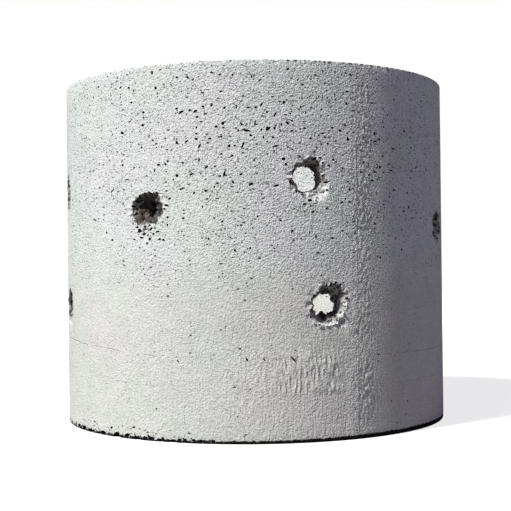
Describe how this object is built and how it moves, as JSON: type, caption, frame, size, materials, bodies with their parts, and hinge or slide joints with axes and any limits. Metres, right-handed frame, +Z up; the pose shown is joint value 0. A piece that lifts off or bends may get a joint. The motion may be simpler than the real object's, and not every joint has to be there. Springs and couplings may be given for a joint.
{
  "type": "perforated concrete pipe",
  "caption": "Upright precast concrete pipe ring, open at both ends, with staggered rough drain holes knocked through its wall.",
  "frame": {"origin": "centre of the bottom end, in the plane that the pipe stands on", "axes": "+Z up the pipe's axis; -Y towards the side that the picture shows"},
  "size_m": [1.15, 1.1496, 1],
  "materials": {
    "concrete": "matte"
  },
  "bodies": {
    "root": {"concrete_pipe": "concrete"}
  },
  "joints": []
}
